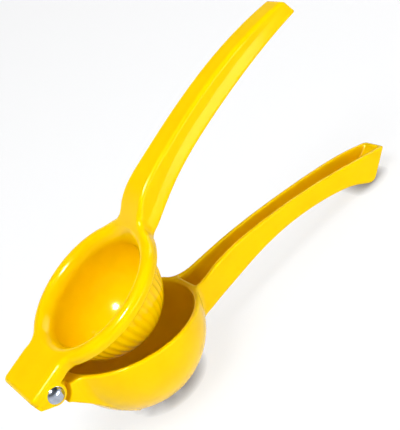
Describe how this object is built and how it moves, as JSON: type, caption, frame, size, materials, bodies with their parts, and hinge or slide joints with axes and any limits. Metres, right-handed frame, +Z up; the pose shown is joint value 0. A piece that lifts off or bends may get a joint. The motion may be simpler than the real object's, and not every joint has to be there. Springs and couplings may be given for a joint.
{
  "type": "hinged lemon squeezer",
  "caption": "Hinged lemon squeezer standing half open: a round drained bowl and a ribbed press cup, each on a long channelled handle, joined by a riveted knuckle.",
  "frame": {"origin": "centre of the bounding box's footprint, on the table the tool stands on, with the press arm half open", "axes": "+X runs along the tool from the hinge to the ends of the handles, +Y across it along the hinge pin from its head to its cap, +Z up"},
  "size_m": [0.221, 0.076, 0.1119],
  "materials": {
    "yellow_enamel": "gloss",
    "bright_rivet": "polished"
  },
  "bodies": {
    "bowl_arm": {"bowl_arm": "yellow_enamel"},
    "press_arm": {"press_arm": "yellow_enamel", "hinge_pin": "bright_rivet", "pin_cap": "bright_rivet"}
  },
  "joints": [
    {"name": "arm_hinge", "type": "hinge", "parent": "bowl_arm", "child": "press_arm", "pos_m": [-0.09989, 0, 0.04994], "axis": [0, -1, 0], "range_deg": [-24.76, 80.24]}
  ]
}
